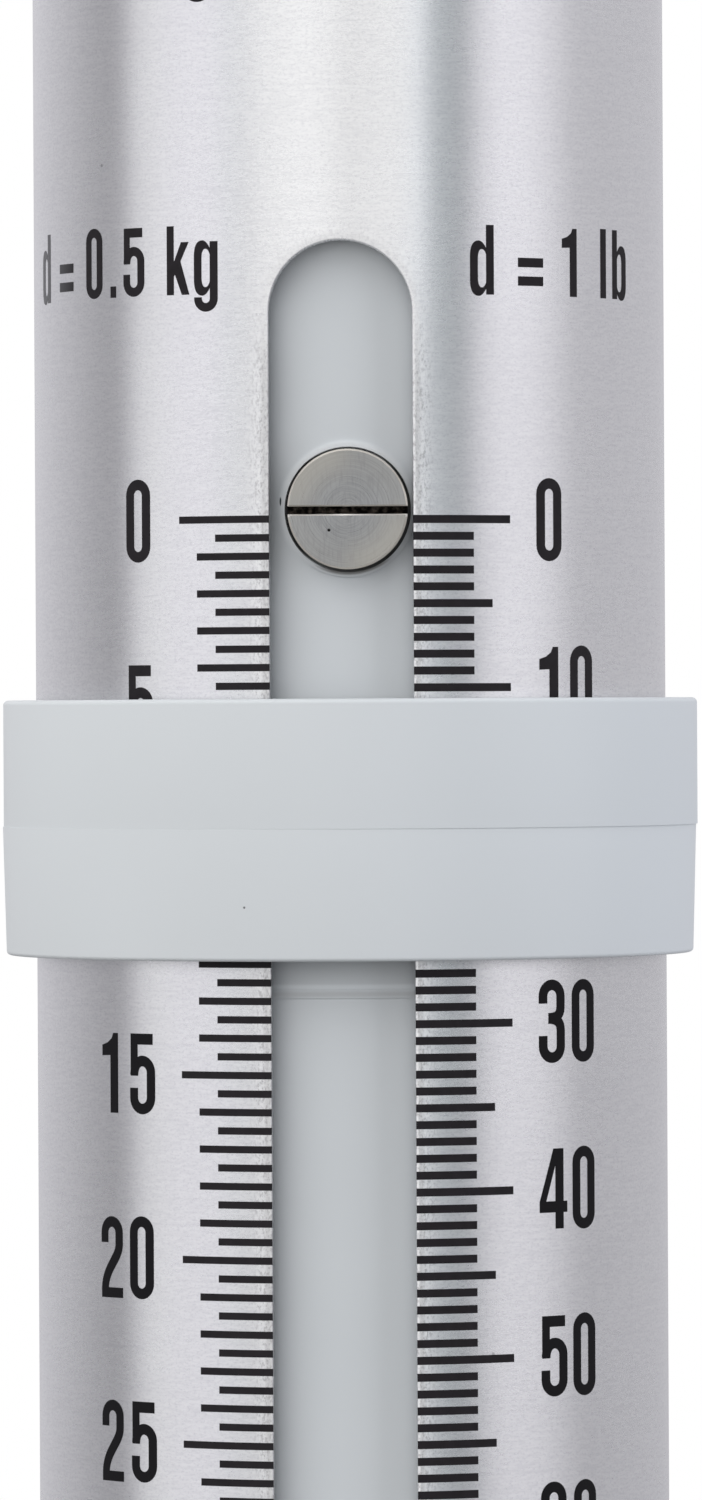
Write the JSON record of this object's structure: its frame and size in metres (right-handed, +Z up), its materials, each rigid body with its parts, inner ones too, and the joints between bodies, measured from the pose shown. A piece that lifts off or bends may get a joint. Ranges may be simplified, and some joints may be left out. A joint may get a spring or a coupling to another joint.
{
  "type": "spring balance",
  "caption": "Tubular hanging spring balance with a slotted aluminium tube, kilogram and pound scales, pointer screw, drag ring, tare knob, bail handle and swivel hook.",
  "frame": {"origin": "middle of the hand grip, on the axis of the tube", "axes": "+Z up along the tube, from the hook to the grip; -Y is the front with the slot and the scales; +X is the side that the hook opens to, right of the scales"},
  "size_m": [0.106, 0.0436, 0.4587],
  "materials": {
    "tube_aluminium": "natural anodised aluminium, finely brushed round the tube",
    "inner_plastic": "pale grey moulded plastic, satin",
    "ring_plastic": "pale grey moulded plastic, satin, with a faint blue cast",
    "guide_acetal": "white low-friction plastic",
    "pointer_steel": "stainless steel, face turned with fine rings",
    "clip_steel": "spring steel strip",
    "cap_plastic": "light grey glass-filled plastic, fine spark-eroded texture",
    "screw_steel": "stainless steel small screws",
    "bush_acetal": "ivory bearing plastic",
    "bail_steel": "polished stainless steel rod",
    "grip_plastic": "dark grey moulded grip, leather-grain texture",
    "knob_plastic": "light grey moulded plastic",
    "insert_brass": "turned brass",
    "spindle_steel": "zinc-plated steel thread",
    "plug_steel": "yellow zinc-plated steel",
    "spring_steel": "oiled spring steel wire",
    "end_plastic": "dark grey glass-filled plastic",
    "buffer_rubber": "black rubber",
    "hook_steel": "forged and tumbled stainless steel"
  },
  "bodies": {
    "handle": {"bail": "bail_steel", "handle_grip": "grip_plastic"},
    "housing": {"outer_tube": "tube_aluminium", "top_cap": "cap_plastic", "cap_screws": "screw_steel", "pivot_bushes": "bush_acetal", "tare_washer": "screw_steel", "bottom_collar": "cap_plastic", "collar_screws": "screw_steel"},
    "tare_knob_set": {"tare_knob": "knob_plastic", "tare_knob_insert": "insert_brass"},
    "spindle_set": {"tare_spindle": "spindle_steel", "spindle_key": "screw_steel", "upper_spring_plug": "plug_steel", "spindle_nut": "screw_steel", "load_spring": "spring_steel"},
    "inner_set": {"inner_tube": "inner_plastic", "guide_ring": "guide_acetal", "pointer_screw": "pointer_steel", "end_plug": "end_plastic", "end_plug_screws": "screw_steel", "buffer_ring": "buffer_rubber", "lower_spring_plug": "plug_steel", "thrust_washer": "insert_brass"},
    "hook_set": {"load_hook": "hook_steel", "hook_nut": "screw_steel", "split_pin": "screw_steel"},
    "drag_ring": {"ring_upper_half": "ring_plastic", "ring_lower_half": "ring_plastic", "ring_friction_clip": "clip_steel"}
  },
  "joints": [
    {"name": "bail_swing", "type": "hinge", "parent": "handle", "child": "housing", "pos_m": [0, 0, -0.071], "axis": [1, 0, 0], "range_deg": [-150, 150]},
    {"name": "tare_turn", "type": "hinge", "parent": "housing", "child": "tare_knob_set", "pos_m": [0, 0, -0.0585], "axis": [0, 0, -1], "range_deg": [-241, 1345]},
    {"name": "tare_lift", "type": "slide", "parent": "housing", "child": "spindle_set", "axis": [0, 0, 1], "range_m": [-0.002, 0.0112]},
    {"name": "load_travel", "type": "slide", "parent": "spindle_set", "child": "inner_set", "axis": [0, 0, -1], "range_m": [0, 0.1134], "stiffness_N_per_m": 4523, "springref_m": -0.00049, "deforming": ["load_spring"]},
    {"name": "hook_swivel", "type": "hinge", "parent": "inner_set", "child": "hook_set", "pos_m": [0, 0, -0.40125], "axis": [0, 0, 1], "continuous": true},
    {"name": "drag_ring_slide", "type": "slide", "parent": "housing", "child": "drag_ring", "axis": [0, 0, -1], "range_m": [-0.0072, 0.1069]}
  ],
  "couplings": [
    {"joint": "tare_turn", "follows": "tare_lift", "rad_per_m": 2094.4}
  ]
}
